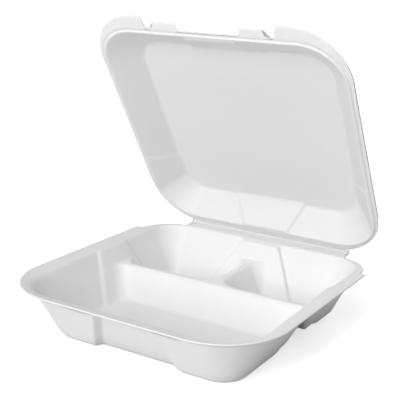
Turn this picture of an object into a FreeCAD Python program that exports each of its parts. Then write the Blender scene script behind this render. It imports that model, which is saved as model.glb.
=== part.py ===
import FreeCAD, Part
import Sketcher
import math
import os

# Foam takeaway container, moulded in one sheet: a three-compartment tray and a lid,
# joined along the back by a creased strip of the same foam.
# X runs along the hinge, Y towards the hinge at the back, Z up. The origin is on the
# surface that the tray stands on, below the middle of its rim. Millimetres and degrees.

doc = FreeCAD.newDocument("foam_container")
sizes = doc.addObject("Spreadsheet::Sheet", "Sizes")

DRIVING_SIZES = [
    # name, value, what it is
    ("foam", 2.4, "sheet thickness, measured level through a wall of the tray"),
    ("floor_thick", 2.2, "sheet thickness of floors and of the lid's top"),
    ("lip_thick", 1.8, "sheet thickness of the pressed rim"),
    ("rim_half", 103.8, "half width of the tray's opening"),
    ("rim_front", 113.6, "from the origin forward to the opening's front edge"),
    ("rim_back", 105.3, "from the origin back to the opening's back edge"),
    ("rim_height", 44.5, "height of the opening's edge"),
    ("front_round", 40.0, "plan radius of the opening's front corners"),
    ("back_round", 27.0, "plan radius of the opening's back corners"),
    ("lip_side", 13.7, "width of the rim at the sides"),
    ("lip_front", 11.4, "width of the rim at the front"),
    ("lip_rise", 2.0, "rise of the rim from the opening to its outer edge"),
    ("lip_rounding", 16.0, "how much larger the rim's front corners are than the opening's"),
    ("trim_margin", 0.5, "how far the rim is formed beyond its trimmed edge"),
    ("divider_drop", 16.5, "from the opening's edge down to the dividers' top"),
    ("crest_wide", 4.6, "width of a divider's top"),
    ("crest_slope_wide", 1.7, "width of the eased edge beside a divider's top"),
    ("crest_slope_deep", 1.9, "depth of the eased edge beside a divider's top"),
    ("divider_place", 18.0, "from the origin back to the cross divider"),
    ("divider_round", 17.0, "plan radius of a compartment's corners at a divider's top"),
    ("divider_round_low", 9.0, "the same radius at the floor"),
    ("inner_round", 11.0, "plan radius of the back compartments' corners by the long divider"),
    ("side_draft", 26.0, "slope of the side walls from upright"),
    ("front_draft", 30.0, "slope of the front wall from upright"),
    ("back_draft", 25.0, "slope of the back wall from upright"),
    ("divider_draft", 28.0, "slope of the dividers' faces from upright"),
    ("floor_edge", 5.0, "rounding of the compartments' bottom edges outside"),
    ("panel_deep", 5.6, "how far the front and side walls' middle panels are set in"),
    ("back_panel_deep", 1.6, "how far the back wall's middle panel is set in"),
    ("panel_clear", 0.3, "how far a panel's cut runs on past the wall's face"),
    ("panel_top_half", 18.0, "half width of a wall panel at the opening's height"),
    ("panel_low_half", 34.8, "half width of a wall panel at the bottom"),
    ("panel_place", 15.0, "from the origin back to the middle of the side panels"),
    ("panel_gap", 3.5, "from a panel's top step to the opening's edge"),
    ("step_slope", 54.0, "slope of a deep panel's edges from square"),
    ("shallow_slope", 72.0, "slope of a shallow panel's edges from square"),
    ("hinge_reach", 14.7, "from the opening's back edge to the hinge line"),
    ("hinge_inset", 20.1, "how much shorter the hinge strip is at each end than the opening"),
    ("hinge_gap", 0.15, "clearance from the hinge line to each half of the strip"),
    ("corner_lip", 6.0, "width of the rim round the opening's back corners"),
    ("corner_shift", 2.2, "how far the cut back corner's centre is off the opening corner's"),
    ("tip_drop", 3.0, "how far the rim's back tips slant"),
    ("slot_drop", 5.5, "from the opening's edge down to a latch slot's lower edge"),
    ("slot_tall", 1.7, "opening of a latch slot"),
    ("slot_ease", 0.8, "how much shorter a slot is at each end than a tab's root"),
    ("open_angle", 58.3, "angle from shut to the rest position"),
    ("lid_foam", 3.0, "the lid's sheet thickness, measured level through a wall"),
    ("lid_drop", 0.6, "how far the lid's ridge lies below the hinge line when shut"),
    ("lid_deep", 23.0, "from the hinge line up to the lid's inside top"),
    ("lid_round", 36.0, "plan radius of the ridge"),
    ("lid_round_change", 12.0, "how much smaller the top's corners are, and larger the rim's"),
    ("ridge_in_front", 9.0, "how far the shut lid's ridge lies inside the opening in front"),
    ("ridge_out_back", 5.1, "how far it lies outside the opening at the back"),
    ("lid_run_side", 21.0, "level run of the lid's side walls"),
    ("lid_run_front", 24.6, "level run of the lid's front wall"),
    ("lid_run_back", 16.8, "level run of the lid's back wall"),
    ("skirt_set_in", 0.5, "how far the lid's rim stands inside the tray's at the sides"),
    ("skirt_set_back", 4.2, "the same in front"),
    ("skirt_side", 5.3, "width of the lid's rim at the sides"),
    ("skirt_back", 0.9, "from the hinge line to the lid rim's back edge, beside the strip"),
    ("skirt_rise", 1.9, "rise of the lid's rim from ridge to edge"),
    ("lid_edge", 6.0, "rounding of the lid's upper edge outside"),
    ("lid_panel_shift", 6.5, "how much further back the lid's side panels are than the tray's"),
    ("lid_panel_deep", 1.6, "how far each wall's middle panel of the lid is set in"),
    ("lid_panel_gap", 1.6, "from a lid panel's low step to the ridge"),
    ("lid_panel_low", 21.0, "half width of a lid panel at the ridge"),
    ("lid_panel_top", 34.0, "half width of a lid panel at the lid's top"),
    ("front_lip", 4.4, "width of the lid's rim between the corner skirts"),
    ("tab_in", 27.0, "from the middle to a tab's inner side at its root"),
    ("tab_wide", 26.0, "width of a tab at its root"),
    ("tab_taper", 3.2, "how far each side of a tab slants in"),
    ("tab_long", 7.4, "how far a tab stands out"),
    ("tab_space", 5.0, "from a tab to the corner skirt beside it"),
    ("skirt_slant", 3.0, "how far a corner skirt's end slants out"),
]

DERIVED_SIZES = [
    # name, what it follows from
    ("flange_half", "rim_half + lip_side"),
    ("flange_front", "rim_front + lip_front"),
    ("flange_height", "rim_height + lip_rise"),
    ("flange_round", "front_round + lip_rounding"),
    ("crest_height", "rim_height - divider_drop"),
    ("hinge_place", "rim_back + hinge_reach"),
    ("hinge_half", "rim_half - hinge_inset"),
    ("notch_centre", "rim_half - back_round + corner_shift"),
    ("notch_place", "rim_back - back_round - corner_shift"),
    ("notch_round", "back_round + corner_lip"),
    ("slot_middle", "tab_in + tab_wide / 2"),
    ("slot_long", "tab_wide - 2 * slot_ease"),
    ("slot_low", "rim_height - slot_drop"),
    ("skirt_half", "flange_half - skirt_set_in"),
    ("skirt_front", "hinge_place + flange_front - skirt_set_back"),
    ("skirt_round", "lid_round + lid_round_change"),
    ("lid_half", "skirt_half - skirt_side"),
    ("lid_back", "hinge_reach - ridge_out_back"),
    ("lid_front", "hinge_place + rim_front - ridge_in_front"),
    ("lid_top_half", "lid_half - lid_run_side"),
    ("lid_top_back", "lid_back + lid_run_back"),
    ("lid_top_front", "lid_front - lid_run_front"),
    ("lid_top_round", "lid_round - lid_round_change"),
    ("lid_panel_place", "hinge_place - panel_place - lid_panel_shift"),
    ("front_edge", "lid_front + front_lip"),
    ("tab_out", "tab_in + tab_wide"),
    ("tab_tip", "front_edge + tab_long"),
    ("skirt_end", "tab_out + tab_space"),
]

for row, (name, value, note) in enumerate(DRIVING_SIZES, start=1):
    sizes.set(f"A{row}", note)
    sizes.set(f"B{row}", str(value))
    sizes.setAlias(f"B{row}", name)
doc.recompute()
for row, (name, formula) in enumerate(DERIVED_SIZES, start=len(DRIVING_SIZES) + 2):
    sizes.set(f"B{row}", "=" + formula)
    sizes.setAlias(f"B{row}", name)
    doc.recompute()


def size(expression):
    """An expression in which every driving size stands by its own name, ready to bind."""
    words = []
    word = ""
    for letter in expression + " ":
        if letter.isalnum() or letter == "_":
            word += letter
            continue
        words.append("Sizes." + word if word in size_names else word)
        words.append(letter)
        word = ""
    return "".join(words).strip()


def number(expression):
    """What an expression comes to now, for the first drawing of a sketch."""
    value = sizes.evalExpression(size(expression))
    return float(getattr(value, "Value", value))


size_names = {entry[0] for entry in DRIVING_SIZES + DERIVED_SIZES}


def bind(thing, field, expression):
    """Ties one field of an object to the sheet."""
    thing.setExpression(field, size(expression))


def new_sketch(body, label, plane="XY_Plane", height="0", lean=None):
    """A sketch on one of the body's own planes, moved off it and leaned back if asked."""
    sketch = body.newObject("Sketcher::SketchObject", label)
    planes = [feature for feature in body.Origin.OriginFeatures if feature.Role == plane]
    sketch.AttachmentSupport = [(planes[0], "")]
    sketch.MapMode = "FlatFace"
    turn = FreeCAD.Rotation(FreeCAD.Vector(1, 0, 0), number(lean) if lean else 0.0)
    sketch.AttachmentOffset = FreeCAD.Placement(FreeCAD.Vector(0, 0, number(height)), turn)
    bind(sketch, ".AttachmentOffset.Base.z", height)
    if lean:
        bind(sketch, ".AttachmentOffset.Rotation.Angle", lean)
    return sketch


def fix_point(sketch, curve, end, across, along):
    """Holds one end of a curve at a place given by two expressions."""
    for kind, place in (("DistanceX", across), ("DistanceY", along)):
        if place is None:
            continue
        index = sketch.addConstraint(Sketcher.Constraint(kind, -1, 1, curve, end, number(place)))
        bind(sketch, f"Constraints[{index}]", place)


def polygon(sketch, corners):
    """A closed outline of straight lines through corners given as pairs of expressions."""
    points = [FreeCAD.Vector(number(across), number(along), 0) for across, along in corners]
    first = sketch.GeometryCount
    for start, end in zip(points, points[1:] + points[:1]):
        sketch.addGeometry(Part.LineSegment(start, end), False)
    for step in range(len(points)):
        follower = first + (step + 1) % len(points)
        sketch.addConstraint(Sketcher.Constraint("Coincident", first + step, 2, follower, 1))
    for step, (across, along) in enumerate(corners):
        fix_point(sketch, first + step, 1, across, along)


def rounded_outline(sketch, half, low, high, low_round, high_round, left=None, inner_round=None):
    """A rectangle with rounded corners, from low to high along Y and half each side of X,
    or only from a left edge with corners of its own."""
    left = left or f"-({half})"
    rounds = (low_round, high_round, inner_round or high_round, inner_round or low_round)
    x_left, x_right, y_low, y_high = number(left), number(half), number(low), number(high)
    corners = [
        (x_right, y_low, -1, 1, 270),
        (x_right, y_high, -1, -1, 0),
        (x_left, y_high, 1, -1, 90),
        (x_left, y_low, 1, 1, 180),
    ]
    for (x_corner, y_corner, toward_x, toward_y, start), radius in zip(corners, map(number, rounds)):
        centre = FreeCAD.Vector(x_corner + toward_x * radius, y_corner + toward_y * radius, 0)
        circle = Part.Circle(centre, FreeCAD.Vector(0, 0, 1), radius)
        arc = Part.ArcOfCircle(circle, math.radians(start), math.radians(start + 90))
        sketch.addGeometry(arc, False)
    for before in range(4):
        after = (before + 1) % 4
        start_arc, end_arc = sketch.Geometry[before], sketch.Geometry[after]
        line = Part.LineSegment(start_arc.EndPoint, end_arc.StartPoint)
        side = sketch.addGeometry(line, False)
        sketch.addConstraint(Sketcher.Constraint("Tangent", before, 2, side, 1))
        sketch.addConstraint(Sketcher.Constraint("Tangent", side, 2, after, 1))
        straight = "Vertical" if before % 2 == 0 else "Horizontal"
        sketch.addConstraint(Sketcher.Constraint(straight, side))
    fix_point(sketch, 4, 1, half, None)
    fix_point(sketch, 5, 1, None, high)
    fix_point(sketch, 6, 1, left, None)
    fix_point(sketch, 7, 1, None, low)
    for arc, radius in enumerate(rounds):
        index = sketch.addConstraint(Sketcher.Constraint("Radius", arc, number(radius)))
        bind(sketch, f"Constraints[{index}]", radius)


def loft(body, label, sections):
    """A straight-sided loft through rounded outlines, each given with its height."""
    sketches = []
    for step, (height, outline) in enumerate(sections):
        sketch = new_sketch(body, f"{label}_{step}", height=height)
        rounded_outline(sketch, *outline)
        sketches.append(sketch)
    feature = body.newObject("PartDesign::AdditiveLoft", label)
    feature.Profile = sketches[0]
    feature.Sections = sketches[1:]
    feature.Ruled = True
    doc.recompute()
    return feature


def pad(body, label, height, outline, length):
    """An upright pad on a rounded outline."""
    sketch = new_sketch(body, f"{label}_outline", height=height)
    rounded_outline(sketch, *outline)
    feature = body.newObject("PartDesign::Pad", label)
    feature.Profile = sketch
    bind(feature, "Length", length)
    doc.recompute()
    return feature


def side_in(drop):
    """How far a side wall comes in over a drop."""
    return f"({drop}) * tan(side_draft)"


def tray_level(drop, out):
    """The tray's rounded outline at a drop below its opening, moved out level."""
    return (
        f"rim_half - {side_in(drop)} + {out}",
        f"-(rim_front - ({drop}) * tan(front_draft)) - {out}",
        f"rim_back - ({drop}) * tan(back_draft) + {out}",
        f"front_round - {side_in(drop)} + {out}",
        f"back_round - {side_in(drop)} + {out}",
    )


def front_compartment(drop, out, eased="0"):
    """The front compartment's outline at a drop below the opening."""
    half, low, high, low_round, high_round = tray_level(drop, out)
    below = f"(({drop}) - rim_height + crest_height)"
    edge = f"divider_place - crest_wide / 2 - {below} * tan(divider_draft) + {out} + {eased}"
    rounding = f"divider_round - {below} / crest_height * (divider_round - divider_round_low) + {out}"
    return half, low, edge, low_round, rounding


def back_compartment(drop, out, eased="0"):
    """The right-hand back compartment's outline at a drop below the opening."""
    half, low, high, low_round, high_round = tray_level(drop, out)
    below = f"(({drop}) - rim_height + crest_height)"
    edge = f"divider_place + crest_wide / 2 + {below} * tan(divider_draft) - {out} - {eased}"
    inner = f"crest_wide / 2 + {below} * tan(divider_draft) - {out} - {eased}"
    rounding = f"divider_round - {below} / crest_height * (divider_round - divider_round_low) + {out}"
    inner_rounding = f"inner_round + {out}"
    return half, edge, high, rounding, high_round, inner, inner_rounding


def ease_edges(body, feature, radius, top):
    """Rounds the lowest edges that a body has so far, or its highest."""
    shape = feature.Shape
    level = shape.BoundBox.ZMax if top else shape.BoundBox.ZMin
    names = []
    for place, edge in enumerate(shape.Edges, start=1):
        box = edge.BoundBox
        if max(abs(box.ZMax - level), abs(box.ZMin - level)) < 1e-4:
            names.append(f"Edge{place}")
    rounding = body.newObject("PartDesign::Fillet", f"{body.Name}_edge")
    rounding.Base = (feature, names)
    bind(rounding, "Radius", radius)
    doc.recompute()
    return rounding


def mirror(body, feature, label):
    """The same feature on the other side of the middle."""
    copy = body.newObject("PartDesign::Mirrored", label)
    copy.Originals = [feature]
    planes = [plane for plane in body.Origin.OriginFeatures if plane.Role == "YZ_Plane"]
    copy.MirrorPlane = (planes[0], [""])
    body.Tip = copy
    doc.recompute()
    return copy


def wall_panel(body, label, plane, place, lean, outline, deep, slope, outward):
    """Sets a wall's middle panel in, cutting outward from the panel's own face with
    slanted edges."""
    sketch = new_sketch(body, f"{label}_outline", plane, place, lean)
    polygon(sketch, outline)
    cut = body.newObject("PartDesign::Pocket", label)
    cut.Profile = sketch
    cut.Reversed = outward
    bind(cut, "Length", f"{deep} + panel_clear")
    bind(cut, "TaperAngle", slope)
    doc.recompute()
    return cut


def add_compartments(body, out, bottom, top, eased):
    """Three compartments below the dividers' top, each a straight-sided loft."""
    for label, shape in (("front", front_compartment), ("back", back_compartment)):
        levels = [(bottom, shape(f"rim_height - {bottom}", out))]
        if eased:
            level = "(crest_height - crest_slope_deep)"
            levels.append((level, shape(f"rim_height - {level}", out)))
            levels.append((top, shape(f"rim_height - {top}", out, "crest_slope_wide")))
        else:
            levels.append((top, shape(f"rim_height - {top}", out)))
        feature = loft(body, f"{label}_compartment", levels)
    return mirror(body, feature, "far_back_compartment")


def add_tray_panels(body, out):
    """The four set-in wall panels of a tray skin that stands the given way out."""
    walls = (
        ("front", "XZ_Plane", "rim_front", "", "0", "panel_deep", "step_slope", True),
        ("back", "XZ_Plane", "rim_back", "-", "0", "back_panel_deep", "shallow_slope", False),
        ("side", "YZ_Plane", "rim_half", "", "panel_place", "panel_deep", "step_slope", True),
    )
    for wall, plane, start, sign, middle, deep, slope, outward in walls:
        draft = f"{wall}_draft"
        wider = f"(foam - {out}) * cos({draft}) * tan(45 - {slope} / 2)"
        place = f"{sign}({start} - rim_height * tan({draft}) + {out} - {deep} / cos({draft}))"
        reach = f"rim_height / cos({draft})"
        spread = f"((panel_low_half - panel_top_half) / ({reach}))"
        low = f"(panel_low_half + {wider} + 8 * {spread})"
        top = f"({reach} - panel_gap - {deep} * tan({slope}) + {wider})"
        high = f"(panel_low_half + {wider} - {top} * {spread})"
        outline = [
            (f"{middle} - {low}", "-8"),
            (f"{middle} + {low}", "-8"),
            (f"{middle} + {high}", top),
            (f"{middle} - {high}", top),
        ]
        cut = wall_panel(body, f"{wall}_panel", plane, place, f"{sign}({draft})", outline,
                         deep, slope, outward)
    return mirror(body, cut, "far_side_panel")


def rim_outline(out):
    """The outline of the tray's rim, moved out level."""
    return (
        f"flange_half + {out}",
        f"-(flange_front + {out})",
        f"hinge_place - hinge_gap + {out}",
        f"flange_round + {out}",
        f"front_round / 4 + {out}",
    )


def cut_corner(body):
    """Trims the rim round a back corner of the opening, down to a slanting tip."""
    sketch = new_sketch(body, "cut_corner_outline", height="flange_height + 5")
    centre = FreeCAD.Vector(number("notch_centre"), number("notch_place"), 0)
    radius = number("notch_round")
    start = math.acos((number("hinge_half") - centre.x) / radius)
    circle = Part.Circle(centre, FreeCAD.Vector(0, 0, 1), radius)
    sketch.addGeometry(Part.ArcOfCircle(circle, 0, start), False)
    fix_point(sketch, 0, 3, "notch_centre", "notch_place")
    index = sketch.addConstraint(Sketcher.Constraint("Radius", 0, radius))
    bind(sketch, f"Constraints[{index}]", "notch_round")
    steps = [
        ("hinge_half", None),
        ("hinge_half", "hinge_place + 8"),
        ("flange_half + 8", "hinge_place + 8"),
        ("flange_half + 8", "notch_place - tip_drop * 2"),
        ("flange_half + 2", "notch_place - tip_drop"),
    ]
    arc = sketch.Geometry[0]
    points = [arc.EndPoint]
    points += [FreeCAD.Vector(number(across), number(along), 0) for across, along in steps[1:]]
    points.append(arc.StartPoint)
    for step, (start_point, end_point) in enumerate(zip(points, points[1:])):
        sketch.addGeometry(Part.LineSegment(start_point, end_point), False)
        sketch.addConstraint(Sketcher.Constraint("Coincident", step, 2, step + 1, 1))
    sketch.addConstraint(Sketcher.Constraint("Coincident", len(points) - 1, 2, 0, 1))
    for step, (across, along) in enumerate(steps):
        fix_point(sketch, step + 1, 1, across, along)
    fix_point(sketch, 0, 1, None, "notch_place")
    cut = body.newObject("PartDesign::Pocket", "cut_corner")
    cut.Profile = sketch
    bind(cut, "Length", "flange_height + 10")
    doc.recompute()
    return cut


def cut_slot(body):
    """A latch slot through the front wall, below the rim."""
    sketch = new_sketch(body, "latch_slot_outline", "XZ_Plane", "rim_front + 6")
    near, far = "slot_middle - slot_long / 2", "slot_middle + slot_long / 2"
    low, high = "slot_low", "slot_low + slot_tall"
    polygon(sketch, [(near, low), (far, low), (far, high), (near, high)])
    cut = body.newObject("PartDesign::Pocket", "latch_slot")
    cut.Profile = sketch
    bind(cut, "Length", "foam + 12")
    doc.recompute()
    return cut


def cut_lid_front(body):
    """Cuts the lid's rim back along the front, leaving two tabs between the corners."""
    sketch = new_sketch(body, "front_cut_outline", height="lid_deep")
    far = "-(skirt_front + 5)"
    edge = "-(front_edge)"
    tip = "-(tab_tip)"
    right = [
        ("skirt_end + skirt_slant * 1.4", far),
        ("skirt_end", edge),
        ("tab_out", edge),
        ("tab_out - tab_taper", tip),
        ("tab_in + tab_taper", tip),
        ("tab_in", edge),
    ]
    left = [(f"-({across})", along) for across, along in reversed(right)]
    polygon(sketch, right + left)
    cut = body.newObject("PartDesign::Pocket", "front_cut")
    cut.Profile = sketch
    bind(cut, "Length", "lid_deep + 10")
    doc.recompute()
    return cut


# Tray: the outer skin as a full block, less the air inside it.
crest_under = "(crest_height - floor_thick)"
lip_under = "(rim_height - lip_thick)"
tray_form = doc.addObject("PartDesign::Body", "tray_form")
loft(tray_form, "basin", [
    (crest_under, tray_level(f"rim_height - {crest_under}", "foam")),
    (lip_under, tray_level("lip_thick", "foam")),
])
loft(tray_form, "rim_flare", [
    (lip_under, tray_level("lip_thick", "foam")),
    ("flange_height - lip_thick", rim_outline("0")),
])
pad(tray_form, "rim_block", "flange_height - lip_thick", rim_outline("0"), "lip_thick + 2")
undersides = add_compartments(tray_form, "foam", "0", crest_under, False)
ease_edges(tray_form, undersides, "floor_edge", 0)
add_tray_panels(tray_form, "foam")
mirror(tray_form, cut_corner(tray_form), "cut_far_corner")
mirror(tray_form, cut_slot(tray_form), "far_latch_slot")

rim_slope = "((flange_height - rim_height) / (flange_half - rim_half))"
tray_air = doc.addObject("PartDesign::Body", "tray_air")
loft(tray_air, "basin", [
    ("crest_height", tray_level("rim_height - crest_height", "0")),
    ("rim_height", tray_level("0", "0")),
])
loft(tray_air, "rim_flare", [
    ("rim_height", tray_level("0", "0")),
    (f"flange_height + trim_margin * {rim_slope}", rim_outline("trim_margin")),
])
pad(tray_air, "above_rim", f"flange_height + trim_margin * {rim_slope}", rim_outline("trim_margin"), "5")
floors = add_compartments(tray_air, "0", "floor_thick", "crest_height", True)
ease_edges(tray_air, floors, "floor_edge - floor_thick", 0)
add_tray_panels(tray_air, "0")

tray = doc.addObject("Part::Cut", "tray")
tray.Base = tray_form
tray.Tool = tray_air
tray.Label = "base_tray"

# Lid, drawn as it lies when shut: the hinge line is its X axis, forward is -Y, and Z
# is up from the hinge line. Then it is turned open about the hinge line.
ridge = "(-(lid_drop))"
lid_walls = [
    ("back", "XZ_Plane", "-(lid_back)", "(lid_top_back - lid_back)"),
    ("front", "XZ_Plane", "lid_front", "(lid_front - lid_top_front)"),
    ("side", "YZ_Plane", "lid_half", "(lid_half - lid_top_half)"),
]


def ridge_outline(rise, out):
    """The lid's rounded outline at a rise above its ridge, moved out level."""
    share = f"({rise}) / (lid_deep + lid_drop)"
    return (
        f"lid_half - {share} * (lid_half - lid_top_half) + {out}",
        f"-(lid_front - {share} * (lid_front - lid_top_front) + {out})",
        f"-(lid_back + {share} * (lid_top_back - lid_back) - {out})",
        f"lid_round + {share} * (lid_top_round - lid_round) + {out}",
        f"lid_round + {share} * (lid_top_round - lid_round) + {out}",
    )


def skirt_flare(rise):
    """The outline to which the lid's rim rises, just outside its trimmed edge; at the
    back it is carried on past the hinge line, to meet the strip at the right height."""
    return (
        "skirt_half + trim_margin",
        "-(skirt_front + trim_margin)",
        f"({rise}) * (lid_back - hinge_gap) / (lid_drop + hinge_gap) - lid_back",
        "skirt_round + trim_margin",
        "lid_round",
    )


def add_lid_skin(body, out, lift, top):
    """One skin of the lid as a full block: its rim, the hollow inside the ridge and
    the dome over it."""
    skirt = ("skirt_half", "-(skirt_front)", "-(skirt_back)", "skirt_round", "skirt_round")
    if lift == "0":
        skirt = skirt_flare(flare_rise)
    pad(body, "rim_block", "-5", skirt, "skirt_rise + lid_drop + lip_thick + 9")
    if lift != "0":
        strip = ("hinge_half", "-(lid_back + 3)", "-(hinge_gap)", "1", "1")
        pad(body, "hinge_strip", "-5", strip, "skirt_rise + lid_drop + lip_thick + 9")
    flare_low = new_sketch(body, "rim_flare_0", height=f"{ridge} + {lift}")
    rounded_outline(flare_low, *ridge_outline(lift, out))
    flare_high = new_sketch(body, "rim_flare_1", height=f"{ridge} + {flare_rise} + {lift}")
    rounded_outline(flare_high, *skirt_flare(flare_rise))
    flare = body.newObject("PartDesign::SubtractiveLoft", "rim_flare")
    flare.Profile = flare_low
    flare.Sections = [flare_high]
    flare.Ruled = True
    doc.recompute()
    clear = new_sketch(body, "clear_above_outline", height=f"{ridge} + {flare_rise} + {lift}")
    rounded_outline(clear, *skirt_flare(flare_rise))
    above = body.newObject("PartDesign::Pocket", "clear_above")
    above.Profile = clear
    above.Reversed = True
    bind(above, "Length", "20")
    doc.recompute()
    dome = loft(body, "dome", [
        (f"{ridge} + {lift}", ridge_outline(lift, out)),
        (top, ridge_outline(f"({top}) + lid_drop", out)),
    ])
    return dome


def add_lid_panels(body, out, top):
    """The set-in wall panels of the lid."""
    for label, plane, start, run in lid_walls:
        lean = f"atan({run} / (lid_deep + lid_drop))"
        cosine = f"cos({lean})"
        wider = f"({out}) * {cosine} * tan(45 - shallow_slope / 2)"
        reach = f"((lid_deep + lid_drop) / {cosine})"
        spread = f"((lid_panel_top - lid_panel_low) / {reach})"
        side = f"{run} * lid_drop / (lid_deep + lid_drop)"
        if label == "back":
            place = f"{start} - {run} * lid_drop / (lid_deep + lid_drop) + {out} - lid_panel_deep / {cosine}"
            place = f"-({place})"
        else:
            place = f"{start} - {side} + {out} - lid_panel_deep / {cosine}"
        middle = "-(lid_panel_place)" if label == "side" else "0"
        foot = f"(lid_panel_gap + lid_panel_deep * tan(shallow_slope) + {wider})"
        low = f"(lid_panel_low - {wider} + {foot} * {spread})"
        high = f"(lid_panel_low - {wider} + ({reach} + 8) * {spread})"
        outline = [
            (f"{middle} - {low}", foot),
            (f"{middle} + {low}", foot),
            (f"{middle} + {high}", f"{reach} + 8"),
            (f"{middle} - {high}", f"{reach} + 8"),
        ]
        sign = "" if label == "back" else "-"
        outward = label != "back"
        cut = wall_panel(body, f"{label}_panel", plane, place, f"{sign}({lean})", outline,
                         "lid_panel_deep", "shallow_slope", outward)
    return mirror(body, cut, "far_side_panel")


flare_rise = "(skirt_rise * (1 + trim_margin / (skirt_half - lid_half)))"
lid_form = doc.addObject("PartDesign::Body", "lid_form")
lid_top = "(lid_deep + floor_thick)"
dome = add_lid_skin(lid_form, "lid_foam", "lip_thick", lid_top)
ease_edges(lid_form, dome, "lid_edge", 1)
add_lid_panels(lid_form, "lid_foam", lid_top)
cut_lid_front(lid_form)

lid_air = doc.addObject("PartDesign::Body", "lid_air")
dome = add_lid_skin(lid_air, "0", "0", "lid_deep")
ease_edges(lid_air, dome, "lid_edge - floor_thick", 1)
add_lid_panels(lid_air, "0", "lid_deep")

lid = doc.addObject("Part::Cut", "cover")
lid.Base = lid_form
lid.Tool = lid_air
lid.Label = "lid"
hinge_turn = FreeCAD.Rotation(FreeCAD.Vector(1, 0, 0), -number("open_angle"))
lid.Placement = FreeCAD.Placement(FreeCAD.Vector(0, 0, 0), hinge_turn)
bind(lid, ".Placement.Base.y", "hinge_place")
bind(lid, ".Placement.Base.z", "flange_height + hinge_gap")
bind(lid, ".Placement.Rotation.Angle", "-(open_angle)")
doc.recompute()

faulty = [item.Name for item in doc.Objects if "Invalid" in item.State or "Error" in item.State]
if faulty:
    raise RuntimeError("objects in error: " + ", ".join(faulty))
os.makedirs("parts", exist_ok=True)
for piece in (tray, lid):
    if piece.Shape.isNull() or not piece.Shape.isValid() or len(piece.Shape.Solids) != 1:
        raise RuntimeError(f"{piece.Label} is not one sound solid")
    piece.Shape.exportStep(f"parts/{piece.Label}.step")
    box = piece.Shape.BoundBox
    print(f"{piece.Label}: {piece.Shape.Volume / 1000:.1f} cm3, "
          f"{box.XLength:.1f} x {box.YLength:.1f} x {box.ZLength:.1f} mm")
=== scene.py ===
import bpy
import math
import numpy as np
from mathutils import Matrix, Vector


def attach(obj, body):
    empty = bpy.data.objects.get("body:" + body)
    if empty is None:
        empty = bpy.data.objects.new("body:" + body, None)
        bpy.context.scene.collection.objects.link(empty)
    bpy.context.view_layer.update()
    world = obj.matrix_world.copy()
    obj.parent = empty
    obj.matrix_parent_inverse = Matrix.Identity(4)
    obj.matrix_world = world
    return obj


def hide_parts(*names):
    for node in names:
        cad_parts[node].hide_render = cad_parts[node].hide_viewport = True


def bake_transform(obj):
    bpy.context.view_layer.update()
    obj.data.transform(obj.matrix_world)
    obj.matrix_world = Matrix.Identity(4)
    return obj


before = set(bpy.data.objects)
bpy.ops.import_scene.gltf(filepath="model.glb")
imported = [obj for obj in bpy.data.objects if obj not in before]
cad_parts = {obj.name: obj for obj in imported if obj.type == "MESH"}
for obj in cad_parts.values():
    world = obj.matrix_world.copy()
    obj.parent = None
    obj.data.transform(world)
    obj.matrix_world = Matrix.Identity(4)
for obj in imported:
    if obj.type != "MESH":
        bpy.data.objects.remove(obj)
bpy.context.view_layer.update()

# shapes are worked out in millimetres and turned into metres when a mesh is made;
# both halves are drawn like a tray: rim at the top, hollow below it

traySize = {
    "half": 103.8, "front": -113.6, "back": 105.3, "rim": 44.5,
    "frontRound": 40.0, "backRound": 27.0, "roundShrink": 0.4877,
    "sideRun": 0.4877, "frontRun": 0.5774, "backRun": 0.4663,
    "outerHalf": 117.5, "outerFront": -125.0, "outerBack": 119.85,
    "outerFrontRound": 56.0, "outerBackRound": 10.0, "edgeRise": 2.0, "hingeRise": 2.0,
    "foam": 2.4, "floor": 2.2, "bottom": 0.0, "lip": 1.8, "floorBlend": 4.5, "crestBlend": 1.6,
    # each wall's panel: its middle, how deep, how slanted its edges, how far it starts below
    # the rim (less than nothing runs on over it), and half its width at the rim and floor
    "panels": (
        ("front", 0.0, 5.6, 1.376, 3.5, 18.0, 34.8), ("back", 2.0, 4.6, 1.3, -12.0, 17.4, 40.9),
        ("side", 15.0, 1.8, 2.6, -12.0, 18.0, 34.8)),
    "panelBlend": 0.9,
    "crest": 29.4, "crestWide": 6.4, "dividerY": 19.2, "dividerRun": 0.5317,
    "dividerBlend": 24.0, "innerRound": 20.0, "backRoundDrop": 32.0, "crestEase": 3.0,
    "hingeHalf": 83.7, "stripCut": 0.5, "notchX": 79.0, "notchY": 76.1, "notchRound": 33.0,
    "tipY": 73.0, "tipPast": 0.02,
    "slotX": 40.0, "slotLong": 24.4, "slotLow": 39.0, "slotTall": 1.7, "slotLip": 1.1,
    "lipTall": 4.0, "lipOver": 0.4, "lipPast": 0.5, "lipEase": 3.0, "frontReach": 20.0,
    "tipAlong": (2.535, 2.62), "notchAlong": (2.625, 0.83), "stripAlong": (3.465, 3.47, 4.0),
    "middle": 0.0, "cornerFade": 5.0,
    "columns": 210, "footRing": 68, "slotLowRing": 88, "slotHighRing": 90, "rimRing": 93,
}

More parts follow.
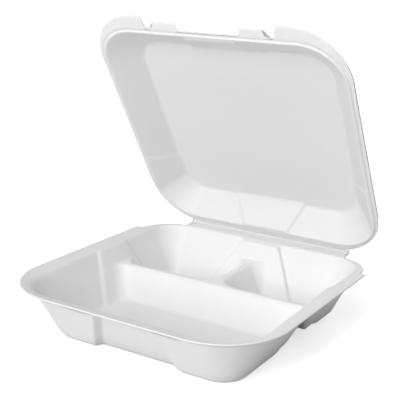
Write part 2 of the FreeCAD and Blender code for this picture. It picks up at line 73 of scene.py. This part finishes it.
lidSize = {
    "half": 111.7, "front": -224.6, "back": -9.6, "rim": 0.6,
    "frontRound": 36.0, "backRound": 36.0, "roundShrink": 0.508,
    "sideRun": 0.8898, "frontRun": 1.0424, "backRun": 0.7119,
    "outerHalf": 117.0, "outerFront": -240.8, "outerBack": -0.15,
    "outerFrontRound": 48.0, "outerBackRound": 48.0, "edgeRise": -1.9, "hingeRise": -0.75,
    "foam": 3.0, "floor": -23.0, "bottom": -24.4, "lip": 1.8, "floorBlend": 1.6, "crestBlend": 1.2,
    "panels": (
        ("front", 0.0, 1.6, 1.5, 1.6, 21.0, 34.0), ("back", 0.0, 1.6, 1.5, -6.0, 21.0, 34.0),
        ("side", -25.0, 0.9, 1.6, 0.5, 52.5, 39.5)),
    "panelBlend": 0.6,
    "skirtBack": 0.9, "hingeHalf": 83.7, "stripEase": 14.0, "cornerTrim": 1.0, "trimLong": 1.2,
    "bead": 0.3, "beadAt": 0.9, "groove": 0.8, "grooveAt": 2.6, "beadWide": 0.8,
    "beadDrop": -4.2, "beadRing": 101,
    "skirtEndLow": 58.0, "skirtEndHigh": 61.0, "frontEdge": 229.0,
    "tabInLow": 27.0, "tabOutLow": 53.0, "tabInHigh": 30.2, "tabOutHigh": 49.8, "tabTip": 236.4,
    "frontColumns": (0, 27, 30, 47, 50, 53, 56), "backAlong": (2.63, 2.64, 3.37),
    "middle": -115.0, "cornerFade": 0.0,
    "columns": 210, "footRing": 74, "rimRing": 94,
}

# what both halves share, as one sheet
sheet = {
    "edgeRound": 0.6, "undercut": 0.9, "edgeAngles": (-50, 0, 50), "leastRound": 3.0,
    "wallSteps": 40, "leastDrop": -60.0, "mostDrop": 160.0, "noPanel": -99.0, "leastSpread": -0.1,
    "panelEndBlend": 0.8, "crestOverBlend": 2.0, "crestUnderEase": 1.2, "rimUnderBlend": 1.4,
    "hingeEase": 12.0, "leastRim": 4.0, "rimShares": (-1.5, 1.05),
    "cornerX": 55.0, "cornerXEase": 25.0, "cornerY": 70.0, "cornerYEase": 30.0,
    "cornerShare": 0.36, "arcPoints": 40,
}

hinge = {"y": 120.0, "z": 46.65, "openAngle": 58.3}

# the fold between the halves: its inner line as distance from the hinge along the tray or lid,
# and height over the hinge line on that side; and the creases pressed in beside it
fold = {
    "half": 83.2, "thick": 1.0, "spacing": 2.0,
    "trayLine": ((1.6, -0.45), (0.9, -0.22), (0.2, -0.12)),
    "lidLine": ((0.2, -0.1), (0.9, -0.06), (1.8, -0.14)),
    "blendFrom": 1.2, "blendTo": 1.2,
    "creases": ((-9.4, 0.35), (-4.5, 0.35), (5.4, 0.35)), "dashAt": 1.9, "dashHalf": 0.8,
    "dashLong": 4.4, "dashFrom": -24.0, "dashCut": -0.4, "depth": 0.5,
    "creaseEnd": 4.0, "noCrease": 90.0, "blendLow": 0.2,
}

view = {
    "lens": 80.25, "place": (365.9, -600.9, 298.7),
    "azimuth": 31.478, "elevation": 15.206, "roll": 1.559, "sensor": 36.0, "clip": (0.05, 20.0),
}

studio = {
    "paper": 0.8, "paperRoughness": 0.9, "floorHalf": 4.0, "lightTarget": (0.0, 0.0, 0.1),
    "nearGlow": 0.62, "farGlow": 1.05, "glowFrom": 0.2, "glowTo": 0.8,
    "world": 0.13, "backdrop": 1.1,
    # each light's place and size in metres, and its power in watts
    "lights": {
        "topLight": ((0.0, 0.0, 2.0), 1.6, 6.0),
        "frontLight": ((0.0, -2.0, 0.85), 1.0, 22.0),
        "highLight": ((0.0, -1.2, 1.7), 0.8, 16.6),
        "leftLight": ((-2.0, 0.0, 0.9), 1.2, 6.0),
        "rightLight": ((2.0, 0.0, 0.9), 1.2, 5.0),
        "cameraLight": ((-0.7, -1.9, 0.45), 0.6, 4.4),
        "backLight": ((0.2, 2.2, 1.3), 1.4, 9.0),
    },
}

foamFacts = {
    "base": (0.76, 0.76, 0.76), "roughness": 0.5, "specular": 0.4,
    "beadSize": 2.6, "beadBump": 0.04, "beadDeep": 0.4, "beadDark": 0.985,
}


def smoothMax(first, second, blend):
    # the larger of the two, plus up to a quarter of the blend where they meet
    near = np.clip(blend - np.abs(first - second), 0, None) / blend
    return np.maximum(first, second) + near * near * blend / 4


def smoothMin(first, second, blend):
    return -smoothMax(-first, -second, blend)


# below, out is how far a skin lies outside the upper one: nothing for the upper skin itself,
# and the foam's thickness for the lower
def floorLevel(size, out):
    return size["floor"] if out == 0 else size["bottom"]


def inwardFrom(x, y, half, front, back, frontRound, backRound):
    # distance inward from a rounded rectangle: from the nearest side, or in a corner the
    # radius less the distance from the corner's centre
    atFront = y < (front + back) / 2
    radius = np.where(atFront, frontRound, backRound)
    overX = np.abs(x) - (half - radius)
    overY = np.where(atFront, front - y, y - back) + radius
    outside = np.hypot(np.clip(overX, 0, None), np.clip(overY, 0, None))
    return radius - outside - np.minimum(np.maximum(overX, overY), 0)


def wallDrop(x, y, size, out):
    # how far below the rim the leaning wall lies at a place: the outline at each depth is the
    # rim's, moved in by depth times run, so depth is stepped until the place is on the outline
    drop = np.zeros_like(x)
    fastest = max(size["sideRun"], size["frontRun"], size["backRun"])
    for _ in range(sheet["wallSteps"]):
        inward = inwardFrom(
            x, y, size["half"] - drop * size["sideRun"] + out,
            size["front"] + drop * size["frontRun"] - out, size["back"] - drop * size["backRun"] + out,
            np.clip(size["frontRound"] - drop * size["roundShrink"] + out, sheet["leastRound"], None),
            np.clip(size["backRound"] - drop * size["roundShrink"] + out, sheet["leastRound"], None))
        drop = np.clip(drop + inward / fastest, sheet["leastDrop"], sheet["mostDrop"])
    return drop


def panelHeight(x, y, size, out):
    # set-in wall panels, as heights: own wall plus depth over the sine of its lean, where the
    # depth is the smallest of the panel's own and what its slanted sides and end allow
    height = np.full_like(x, sheet["noPanel"])
    for wall, middle, deep, slope, gap, topHalf, lowHalf in size["panels"]:
        run = size[wall + "Run"]
        lean = math.atan(run)
        wider = (size["foam"] - out) * (math.sqrt(1 + slope * slope) - slope)
        if wall == "front":
            across, inward = x - middle, y - size["front"] + out
        elif wall == "back":
            across, inward = x - middle, size["back"] + out - y
        else:
            across, inward = y - middle, size["half"] + out - np.abs(x)
        ownWall = size["rim"] - inward / run
        reach = (size["rim"] - size["floor"]) / math.cos(lean)
        down = (inward / run) / math.cos(lean) - deep / math.tan(lean)
        spread = np.clip(down / reach, sheet["leastSpread"], None)
        halfWide = topHalf + wider + (lowHalf - topHalf) * spread
        # depth allowed by the slanted sides, and by the slanted end, which runs down the wall
        bySide = deep + (halfWide - np.abs(across)) / slope
        byEnd = deep + (down - gap - deep * slope + wider) / (slope + 1 / math.tan(lean))
        byEdge = smoothMin(bySide, byEnd, sheet["panelEndBlend"])
        depth = smoothMin(byEdge, np.full_like(x, deep), size["panelBlend"])
        panel = np.where(depth > 0, ownWall + depth / math.sin(lean), sheet["noPanel"])
        height = np.maximum(height, panel)
    return height


def dividerHeight(x, y, size, shell, out):
    # each compartment's surface is the highest of its floor, the walls and its divider faces;
    # the tray's is then the lowest of the compartments and the space over the dividers
    halfCrest = size["crestWide"] / 2 - out
    toFront = size["dividerY"] - halfCrest - y
    toBack = y - size["dividerY"] - halfCrest
    toSide = np.abs(x) - halfCrest
    # where the two dividers meet, a back compartment's corner is rounded
    turn = size["innerRound"] + out
    toCorner = turn - np.hypot(np.clip(turn - toBack, 0, None), np.clip(turn - toSide, 0, None))
    toCorner = toCorner + np.clip(np.minimum(toBack, toSide) - turn, 0, None)
    floor = np.full_like(x, floorLevel(size, out))
    faceFront = size["crest"] - toFront / size["dividerRun"]
    faceBack = size["crest"] - toCorner / size["dividerRun"]
    frontPart = smoothMax(shell, faceFront, size["dividerBlend"])
    # so is its corner with the outer wall: the same rounding, worked on the drop below the crest
    turn = size["backRoundDrop"]
    byWall, byFace = size["crest"] - shell, size["crest"] - faceBack
    drop = turn - np.hypot(np.clip(turn - byWall, 0, None), np.clip(turn - byFace, 0, None))
    backPart = size["crest"] - drop - np.clip(np.minimum(byWall, byFace) - turn, 0, None)
    low = smoothMax(np.minimum(frontPart, backPart), floor, size["floorBlend"] + out)
    crest = np.full_like(x, size["crest"] if out == 0 else size["crest"] - size["floor"])
    over = smoothMax(crest, shell, sheet["crestOverBlend"])
    return smoothMin(low, over, size["crestEase"] if out == 0 else sheet["crestUnderEase"])


def skinHeight(x, y, size, out):
    shell = size["rim"] - wallDrop(x, y, size, out)
    shell = smoothMax(shell, panelHeight(x, y, size, out), size["panelBlend"])
    if "crest" in size:
        body = dividerHeight(x, y, size, shell, out)
    else:
        body = smoothMax(shell, np.full_like(x, floorLevel(size, out)), size["floorBlend"])
    # the rim rises evenly from the opening's edge to its own outer edge
    inner = -inwardFrom(x, y, size["half"], size["front"], size["back"],
                        size["frontRound"], size["backRound"])
    outer = inwardFrom(x, y, size["outerHalf"], size["outerFront"], size["outerBack"],
                       size["outerFrontRound"], size["outerBackRound"])
    rimWide = np.clip(inner + outer, sheet["leastRim"], None)
    share = np.clip(inner / rimWide, *sheet["rimShares"])
    towardHinge = np.clip((y - size["back"] + sheet["hingeEase"]) / sheet["hingeEase"], 0, 1)
    rise = size["edgeRise"] + (size["hingeRise"] - size["edgeRise"]) * towardHinge
    rim = size["rim"] + rise * share - (size["lip"] if out > 0 else 0)
    if "bead" in size:
        # a low rounded bead runs round the opening, with a groove outside it: each is a bell
        # curve of the distance from the opening's edge
        bead = np.exp(-((inner - size["beadAt"]) / size["beadWide"]) ** 2)
        groove = np.exp(-((inner - size["grooveAt"]) / size["beadWide"]) ** 2)
        rim = rim + (size["bead"] * bead - size["groove"] * groove) * (out == 0)
    # at the front corners the opening's edge fades into one smooth surface
    bySide = np.clip((np.abs(x) - sheet["cornerX"]) / sheet["cornerXEase"], 0, 1)
    byFront = np.clip((size["front"] + sheet["cornerY"] - y) / sheet["cornerYEase"], 0, 1)
    fade = size["crestBlend"] + size["cornerFade"] * bySide * byFront
    return smoothMin(body, rim, fade if out == 0 else sheet["rimUnderBlend"])


def squareGrid(columns):
    # positions -1 to 1 of a square grid; ring is the distance from the middle to the square
    # that a place is on, and along runs from 0, mid front, to 4, mid back, round each half
    line = np.linspace(-1, 1, columns + 1)
    sideways, upward = np.meshgrid(line, line)
    ring = np.maximum(np.abs(sideways), np.abs(upward))
    safe = np.where(ring > 1e-9, ring, 1)
    across, up = np.abs(sideways) / safe, upward / safe
    along = np.where(up <= -1 + 1e-6, across, np.where(up >= 1 - 1e-6, 4 - across, 2 + up))
    return ring, along, np.sign(sideways)


def roundedLine(half, front, back, frontRound, backRound):
    # right half of a rounded rectangle as a table: along, x and y; along is 1 in the middle of
    # the front corner and 3 in the middle of the back one
    share = sheet["cornerShare"]
    turn = np.linspace(0, 1, sheet["arcPoints"])
    low, high = np.radians(-90 + 90 * turn), np.radians(90 * turn)
    along = np.concatenate([[0], 1 - share + 2 * share * turn, 3 - share + 2 * share * turn, [4]])
    x = np.concatenate([
        [0], half - frontRound + frontRound * np.cos(low),
        half - backRound + backRound * np.cos(high), [0]])
    y = np.concatenate([
        [front], front + frontRound + frontRound * np.sin(low),
        back - backRound + backRound * np.sin(high), [back]])
    return along, x, y


def levelLine(size, drop, out):
    return roundedLine(
        size["half"] - drop * size["sideRun"] + out,
        size["front"] + drop * size["frontRun"] - out, size["back"] - drop * size["backRun"] + out,
        max(size["frontRound"] - drop * size["roundShrink"] + out, sheet["leastRound"]),
        max(size["backRound"] - drop * size["roundShrink"] + out, sheet["leastRound"]))


def trayEdge(size):
    # the rim's trimmed outline: bowed front, rounded front corners, slanted back tips, the
    # cut round each back corner, and the hinge strip
    share = sheet["cornerShare"]
    turn = np.linspace(0, 1, sheet["arcPoints"])
    low = np.radians(-90 + 90 * turn)
    radius, front, half = size["outerFrontRound"], size["outerFront"], size["outerHalf"]
    endAngle = math.acos((size["hingeHalf"] - size["notchX"]) / size["notchRound"])
    high = endAngle * turn
    notchStart, notchSpan = size["notchAlong"]
    along = np.concatenate([
        [0], 1 - share + 2 * share * turn, size["tipAlong"], notchStart + notchSpan * turn,
        size["stripAlong"]])
    x = np.concatenate([
        [0], half - radius + radius * np.cos(low),
        [half, size["notchX"] + size["notchRound"] + size["tipPast"]],
        size["notchX"] + size["notchRound"] * np.cos(high),
        [size["hingeHalf"], size["hingeHalf"] - size["stripCut"], 0]])
    y = np.concatenate([
        [front], front + radius + radius * np.sin(low), [size["tipY"], size["notchY"]],
        size["notchY"] + size["notchRound"] * np.sin(high),
        [size["outerBack"] - size["stripCut"], size["outerBack"], size["outerBack"]]])
    return along, x, y


def lidEdge(size):
    # the lid rim's outline: low front edge with two tabs, corner skirts, rounded back corners
    # and the hinge strip
    share = sheet["cornerShare"]
    turn = np.linspace(0, 1, sheet["arcPoints"])
    low, high = np.radians(-90 + 90 * turn), np.radians(90 * turn)
    radius, half, front = size["outerFrontRound"], size["outerHalf"], size["outerFront"]
    back = -size["skirtBack"]
    edge, tip = -size["frontEdge"], -size["tabTip"]
    # the tabs' corners lie on whole columns of the grid, so that their edges stay straight
    tabPlaces = np.array(size["frontColumns"]) / (size["columns"] // 2)
    sideEnd, backStart, stripStart = size["backAlong"]
    along = np.concatenate([
        tabPlaces, 1 - share + 2 * share * turn, [sideEnd], backStart + 2 * share * turn,
        [stripStart, 4]])
    x = np.concatenate([
        [0, size["tabInLow"], size["tabInHigh"], size["tabOutHigh"], size["tabOutLow"]],
        [size["skirtEndLow"], size["skirtEndHigh"]],
        half - radius + radius * np.cos(low), [half],
        half - size["cornerTrim"] - radius + radius * np.cos(high),
        [size["hingeHalf"] - size["stripEase"], 0]])
    y = np.concatenate([
        [edge, edge, tip, tip, edge, edge, front],
        front + radius + radius * np.sin(low), [back - radius - size["trimLong"]],
        back - radius + radius * np.sin(high), [size["outerBack"], size["outerBack"]]])
    return along, x, y


def placesOn(line, along, side):
    # the places on an outline, mirrored on the left
    return side * np.interp(along, line[0], line[1]), np.interp(along, line[0], line[2])


def ringPlaces(size, edge, out):
    # between the named rings the outlines are mixed evenly; inside the foot they shrink to
    # the middle
    steps = size["columns"] // 2
    depth = size["rim"] - floorLevel(size, out)
    levels = [(size["footRing"], levelLine(size, depth, out))]
    if "slotLow" in size:
        slotDrop = size["rim"] - size["slotLow"]
        levels.append((size["slotLowRing"], levelLine(size, slotDrop, out)))
        levels.append((size["slotHighRing"], levelLine(size, slotDrop - size["slotTall"], out)))
    lip = size["lip"] if out > 0 else 0
    levels.append((size["rimRing"], levelLine(size, lip, out)))
    if "bead" in size:
        levels.append((size["beadRing"], levelLine(size, size["beadDrop"], 0)))
    levels.append((steps, edge))
    ring, along, side = squareGrid(size["columns"])
    ring = ring * steps
    footRing, footLine = levels[0]
    x, y = placesOn(footLine, along, side)
    share = np.clip(ring / footRing, 0, 1)
    x, y = x * share, size["middle"] + (y - size["middle"]) * share
    for (lowRing, lowLine), (highRing, highLine) in zip(levels, levels[1:]):
        share = np.clip((ring - lowRing) / (highRing - lowRing), 0, 1)
        lowX, lowY = placesOn(lowLine, along, side)
        highX, highY = placesOn(highLine, along, side)
        x = np.where(ring > lowRing, lowX + (highX - lowX) * share, x)
        y = np.where(ring > lowRing, lowY + (highY - lowY) * share, y)
    return x, y


def borderLoop(columns):
    # grid numbers once round the outer square, anticlockwise seen from above
    wide = columns + 1
    front = np.arange(0, columns)
    right = np.arange(0, columns) * wide + columns
    back = np.arange(wide * wide - 1, wide * wide - wide, -1)
    left = np.arange(columns, 0, -1) * wide
    return np.concatenate([front, right, back, left])


def bandFaces(first, second):
    nextFirst, nextSecond = np.roll(first, -1), np.roll(second, -1)
    return np.stack([first, second, nextSecond, nextFirst], axis=1)


def pressOut(size, flat, height):
    # below each slot the foam is pressed outward: most at the slot, fading downward and
    # toward its ends
    below = np.clip(1 - (size["slotLow"] - height) / size["lipTall"], 0, 1)
    below = below * (height < size["slotLow"] + size["lipOver"])
    fromEnd = size["slotLong"] / 2 + size["lipPast"] - np.abs(np.abs(flat[:, 0]) - size["slotX"])
    within = np.clip(fromEnd / size["lipEase"], 0, 1)
    atFront = flat[:, 1] < size["front"] + size["frontReach"]
    flat[:, 1] -= size["slotLip"] * below * below * within * atFront


def openingWalls(keep, columns):
    # where one cell is kept and its neighbour isn't, a wall joins the two skins
    wide = columns + 1
    kept = keep.reshape(columns, columns)
    walls = []
    for axis, (near, far) in enumerate(((wide, wide + 1), (1, wide + 1))):
        changed = kept != np.roll(kept, -1, axis=axis)
        # the last row or column has no neighbour after it
        if axis == 0:
            changed[-1, :] = False
        else:
            changed[:, -1] = False
        row, column = np.nonzero(changed)
        first, second = row * wide + column + near, row * wide + column + far
        wall = np.stack([first, second, second + wide * wide, first + wide * wide], axis=1)
        turned = kept[row, column] if axis == 0 else ~kept[row, column]
        wall[turned] = wall[turned][:, ::-1]
        walls.append(wall)
    return walls


def shellMesh(size, edge, opening=None):
    # two skins on one grid, a rounded edge between them, and a wall round each opening
    columns = size["columns"]
    wide = columns + 1
    tops = np.stack(ringPlaces(size, edge, 0), axis=-1)
    lows = np.stack(ringPlaces(size, edge, size["foam"]), axis=-1)
    border = borderLoop(columns)
    line = tops.reshape(-1, 2)[border]
    ahead = np.roll(line, -1, axis=0) - np.roll(line, 1, axis=0)
    ahead /= np.linalg.norm(ahead, axis=1)[:, None] + 1e-9
    outward = np.stack([ahead[:, 1], -ahead[:, 0]], axis=1)
    edgeRound, undercut = sheet["edgeRound"], sheet["undercut"]
    flatTop, flatLow = tops.reshape(-1, 2).copy(), lows.reshape(-1, 2).copy()
    flatTop[border] = line - outward * edgeRound
    flatLow[border] = line - outward * (edgeRound + undercut)
    topZ = skinHeight(flatTop[:, 0], flatTop[:, 1], size, 0)
    lowZ = skinHeight(flatLow[:, 0], flatLow[:, 1], size, size["foam"])
    lowZ[border] = topZ[border] - size["lip"]
    if "slotLip" in size:
        pressOut(size, flatTop, topZ)
        pressOut(size, flatLow, lowZ)
    top = np.column_stack([flatTop, topZ])
    low = np.column_stack([flatLow, lowZ])
    row, column = np.divmod(np.arange(columns * columns), columns)
    corner = row * wide + column
    keep = np.ones(len(corner), bool)
    if opening is not None:
        keep = ~opening(size, row, column, top)
    quad = np.stack([corner, corner + 1, corner + wide + 1, corner + wide], axis=1)[keep]
    points, faces = [top, low], [quad, quad[:, ::-1] + wide * wide]
    # the rounded edge: rings of points from the upper skin's border to the lower's
    rings = [border]
    used = 2 * wide * wide
    for angle in sheet["edgeAngles"]:
        turn = math.radians(-angle)
        inset = edgeRound * (1 - math.cos(turn)) + undercut * max(0, -math.sin(turn))
        height = topZ[border] - size["lip"] / 2 + size["lip"] / 2 * math.sin(turn)
        points.append(np.column_stack([line - outward * inset, height]))
        rings.append(np.arange(used, used + len(border)))
        used += len(border)
    rings.append(border + wide * wide)
    for before, after in zip(rings, rings[1:]):
        faces.append(bandFaces(before, after))
    if opening is not None:
        faces += openingWalls(keep, columns)
    return np.concatenate(points), np.concatenate(faces)


def makeObject(name, points, faces, material):
    mesh = bpy.data.meshes.new(name)
    mesh.vertices.add(len(points))
    mesh.vertices.foreach_set("co", (points / 1000).astype(np.float32).ravel())
    mesh.loops.add(faces.size)
    mesh.loops.foreach_set("vertex_index", faces.astype(np.int32).ravel())
    mesh.polygons.add(len(faces))
    mesh.polygons.foreach_set("loop_start", np.arange(0, faces.size, 4, dtype=np.int32))
    mesh.update(calc_edges=True)
    mesh.validate()
    mesh.shade_smooth()
    mesh.materials.append(material)
    made = bpy.data.objects.new(name, mesh)
    bpy.context.scene.collection.objects.link(made)
    return made


def turnLid(points):
    # from the lid's own drawing (upside down, hinge line at zero) to its open place
    angle = math.radians(hinge["openAngle"])
    away, above = -points[:, 1], -points[:, 2]
    y = hinge["y"] - away * math.cos(angle) + above * math.sin(angle)
    z = hinge["z"] + away * math.sin(angle) + above * math.cos(angle)
    return np.column_stack([points[:, 0], y, z])


def foamMaterial(facts):
    material = bpy.data.materials.new("foam")
    material.use_nodes = True
    nodes, links = material.node_tree.nodes, material.node_tree.links
    shader = nodes["Principled BSDF"]
    shader.inputs["Roughness"].default_value = facts["roughness"]
    shader.inputs["Specular IOR Level"].default_value = facts["specular"]
    place = nodes.new("ShaderNodeTexCoord")
    bead = nodes.new("ShaderNodeTexVoronoi")
    bead.inputs["Scale"].default_value = 1000 / facts["beadSize"]
    tone = nodes.new("ShaderNodeMapRange")
    tone.inputs["To Min"].default_value = facts["beadDark"]
    tone.inputs["To Max"].default_value = 1.0
    mix = nodes.new("ShaderNodeMix")
    mix.data_type = "RGBA"
    mix.blend_type = "MULTIPLY"
    mix.inputs["Factor"].default_value = 1.0
    mix.inputs["A"].default_value = (*facts["base"], 1)
    # creases beside the hinge: narrow dents by distance from it, and one row of dashes
    distance = nodes.new("ShaderNodeAttribute")
    distance.attribute_name = "hingeDistance"
    split = nodes.new("ShaderNodeSeparateXYZ")
    links.new(place.outputs["Object"], split.inputs["Vector"])

    def maths(operation, first, second, third=None):
        made = nodes.new("ShaderNodeMath")
        made.operation = operation
        for socket, value in zip(made.inputs, (first, second, third)):
            if isinstance(value, (int, float)):
                socket.default_value = value
            elif value is not None:
                links.new(value, socket)
        return made.outputs["Value"]

    dent = None
    for middle, half in fold["creases"]:
        near = maths("COMPARE", distance.outputs["Fac"], middle, half)
        dent = near if dent is None else maths("MAXIMUM", dent, near)
    onDash = maths("COMPARE", distance.outputs["Fac"], fold["dashAt"], fold["dashHalf"])
    swing = maths("SINE", maths("MULTIPLY", split.outputs["X"], 2000 * math.pi / fold["dashLong"]), 0)
    onDash = maths("MULTIPLY", onDash, maths("GREATER_THAN", swing, fold["dashCut"]))
    pastStart = maths("GREATER_THAN", split.outputs["X"], fold["dashFrom"] / 1000)
    onDash = maths("MULTIPLY", onDash, pastStart)
    relief = maths("SUBTRACT", onDash, dent)
    pressed = nodes.new("ShaderNodeBump")
    pressed.inputs["Strength"].default_value = 1.0
    pressed.inputs["Distance"].default_value = fold["depth"] / 1000
    links.new(relief, pressed.inputs["Height"])
    bump = nodes.new("ShaderNodeBump")
    links.new(pressed.outputs["Normal"], bump.inputs["Normal"])
    bump.inputs["Strength"].default_value = facts["beadBump"]
    bump.inputs["Distance"].default_value = facts["beadDeep"] / 1000
    links.new(place.outputs["Object"], bead.inputs["Vector"])
    links.new(bead.outputs["Distance"], tone.inputs["Value"])
    links.new(tone.outputs["Result"], mix.inputs["B"])
    links.new(mix.outputs["Result"], shader.inputs["Base Color"])
    links.new(bead.outputs["Distance"], bump.inputs["Height"])
    links.new(bump.outputs["Normal"], shader.inputs["Normal"])
    return material


def slotCells(size, row, column, top):
    # the cells between the two slot rings on the front wall, within the slots' length
    steps = size["columns"] // 2
    inRows = (row >= steps - size["slotHighRing"]) & (row < steps - size["slotLowRing"])
    corner = row * (size["columns"] + 1) + column
    x = (top[corner, 0] + top[corner + 1, 0]) / 2
    return inRows & (np.abs(np.abs(x) - size["slotX"]) < size["slotLong"] / 2)


def foldMesh():
    # a thin strip hung from the tray's edge to the lid's round the hinge line, closed all round
    angle = math.radians(hinge["openAngle"])
    sine, cosine = math.sin(angle), math.cos(angle)
    outward = np.array(
        [[0, -1]] * len(fold["trayLine"]) + [[sine, cosine]] * len(fold["lidLine"]), float)
    trayPart = np.array([(-away, height) for away, height in fold["trayLine"]])
    lidPart = np.array([
        (-away * cosine - height * sine, away * sine - height * cosine)
        for away, height in fold["lidLine"]])
    inner = np.concatenate([trayPart, lidPart])
    outer = inner + outward * fold["thick"]
    section = np.concatenate([inner, outer[::-1]]) + (hinge["y"], hinge["z"])
    steps = round(2 * fold["half"] / fold["spacing"])
    across = np.linspace(-fold["half"], fold["half"], steps + 1)
    corners = len(section)
    points = np.column_stack([np.repeat(across, corners), np.tile(section, (steps + 1, 1))])
    start = np.arange(steps)[:, None] * corners
    line, after = np.arange(corners), np.roll(np.arange(corners), -1)
    sides = np.stack([
        (start + line).ravel(), (start + after).ravel(),
        (start + corners + after).ravel(), (start + corners + line).ravel()], axis=1)
    first = np.arange(corners // 2 - 1)
    ends = np.stack([first, corners - 1 - first, corners - 2 - first, first + 1], axis=1)
    return points, np.concatenate([sides[:, ::-1], ends[:, ::-1], ends + steps * corners])


def markCreases(made, distance, across):
    # distance from the hinge, for the creases, kept only along the hinge strip
    onStrip = np.abs(across) < fold["half"] + fold["creaseEnd"]
    held = np.where(onStrip, distance, fold["noCrease"])
    attribute = made.data.attributes.new("hingeDistance", "FLOAT", "POINT")
    attribute.data.foreach_set("value", held.astype(np.float32))


foam = foamMaterial(foamFacts)
trayPoints, trayFaces = shellMesh(traySize, trayEdge(traySize), slotCells)
tray = makeObject("trayFoam", trayPoints, trayFaces, foam)
markCreases(tray, trayPoints[:, 1] - hinge["y"], trayPoints[:, 0])
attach(tray, "base")
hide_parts("base_tray")
print("tray made:", len(trayFaces) * 2, "triangles")

lidPoints, lidFaces = shellMesh(lidSize, lidEdge(lidSize))
lidDistance = -lidPoints[:, 1]
lidPoints = turnLid(lidPoints)
lid = makeObject("lidFoam", lidPoints, lidFaces[:, ::-1], foam)
markCreases(lid, lidDistance, lidPoints[:, 0])
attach(lid, "lid")
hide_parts("lid")
print("lid made:", len(lidFaces) * 2, "triangles")

foldPoints, foldFaces = foldMesh()
foldStrip = makeObject("hingeFold", foldPoints, foldFaces, foam)
markCreases(foldStrip, np.where(foldPoints[:, 2] > hinge["z"], 1.0, -1.0), foldPoints[:, 0])
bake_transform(foldStrip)
print("hinge fold made:", len(foldFaces) * 2, "triangles")


def plainMaterial(name, colour, roughness):
    material = bpy.data.materials.new(name)
    material.use_nodes = True
    shader = material.node_tree.nodes["Principled BSDF"]
    shader.inputs["Base Color"].default_value = (*colour, 1)
    shader.inputs["Roughness"].default_value = roughness
    return material


def paperMaterial(facts):
    # the paper glows for the camera's rays only, and more with distance, so that it comes out
    # white and the glow doesn't light the container
    material = plainMaterial("paper", (facts["paper"],) * 3, facts["paperRoughness"])
    nodes, links = material.node_tree.nodes, material.node_tree.links
    rays = nodes.new("ShaderNodeLightPath")
    place = nodes.new("ShaderNodeTexCoord")
    away = nodes.new("ShaderNodeVectorMath")
    away.operation = "LENGTH"
    reach = nodes.new("ShaderNodeMapRange")
    reach.inputs["From Min"].default_value = facts["glowFrom"]
    reach.inputs["From Max"].default_value = facts["glowTo"]
    reach.inputs["To Min"].default_value = facts["nearGlow"]
    reach.inputs["To Max"].default_value = facts["farGlow"]
    glow = nodes.new("ShaderNodeMath")
    glow.operation = "MULTIPLY"
    links.new(place.outputs["Object"], away.inputs[0])
    links.new(away.outputs["Value"], reach.inputs["Value"])
    links.new(rays.outputs["Is Camera Ray"], glow.inputs[0])
    links.new(reach.outputs["Result"], glow.inputs[1])
    shader = nodes["Principled BSDF"]
    shader.inputs["Emission Color"].default_value = (1, 1, 1, 1)
    links.new(glow.outputs["Value"], shader.inputs["Emission Strength"])
    return material


floorMesh = bpy.data.meshes.new("studioFloor")
reach = studio["floorHalf"]
floorCorners = [(-reach, -reach, 0), (reach, -reach, 0), (reach, reach, 0), (-reach, reach, 0)]
floorMesh.from_pydata(floorCorners, [], [(0, 1, 2, 3)])
floorMesh.materials.append(paperMaterial(studio))
floor = bpy.data.objects.new("studioFloor", floorMesh)
bpy.context.scene.collection.objects.link(floor)


def areaLight(name, place, target, size, power):
    light = bpy.data.lights.new(name, "AREA")
    light.shape = "SQUARE"
    light.size = size
    light.energy = power
    made = bpy.data.objects.new(name, light)
    bpy.context.scene.collection.objects.link(made)
    direction = np.array(target, float) - np.array(place, float)
    made.rotation_euler = Vector(direction).to_track_quat("-Z", "Y").to_euler()
    made.location = place


for name, (place, size, power) in studio["lights"].items():
    areaLight(name, place, studio["lightTarget"], size, power)

world = bpy.data.worlds.new("studio")
world.use_nodes = True
worldNodes, worldLinks = world.node_tree.nodes, world.node_tree.links
worldNodes["Background"].inputs["Color"].default_value = (1, 1, 1, 1)
worldRays = worldNodes.new("ShaderNodeLightPath")
worldStrength = worldNodes.new("ShaderNodeMapRange")
worldStrength.inputs["To Min"].default_value = studio["world"]
worldStrength.inputs["To Max"].default_value = studio["backdrop"]
worldLinks.new(worldRays.outputs["Is Camera Ray"], worldStrength.inputs["Value"])
worldLinks.new(worldStrength.outputs["Result"], worldNodes["Background"].inputs["Strength"])
bpy.context.scene.world = world


def addCamera(facts):
    # looks along the fitted direction, then rolled about it
    azimuth, elevation, roll = (
        math.radians(facts[key]) for key in ("azimuth", "elevation", "roll"))
    forward = np.array([
        -math.sin(azimuth) * math.cos(elevation), math.cos(azimuth) * math.cos(elevation),
        -math.sin(elevation)])
    right = np.array([math.cos(azimuth), math.sin(azimuth), 0])
    up = np.cross(right, forward)
    rolledRight = math.cos(roll) * right + math.sin(roll) * up
    rolledUp = -math.sin(roll) * right + math.cos(roll) * up
    camera = bpy.data.cameras.new("photoCamera")
    camera.lens = facts["lens"]
    camera.sensor_width = facts["sensor"]
    camera.clip_start, camera.clip_end = facts["clip"]
    made = bpy.data.objects.new("photoCamera", camera)
    bpy.context.scene.collection.objects.link(made)
    matrix = Matrix.Identity(4)
    for row in range(3):
        matrix[row] = (
            rolledRight[row], rolledUp[row], -forward[row], facts["place"][row] / 1000)
    made.matrix_world = matrix
    bpy.context.scene.camera = made


addCamera(view)
bpy.context.scene.view_settings.view_transform = "Standard"
print("studio and camera made")
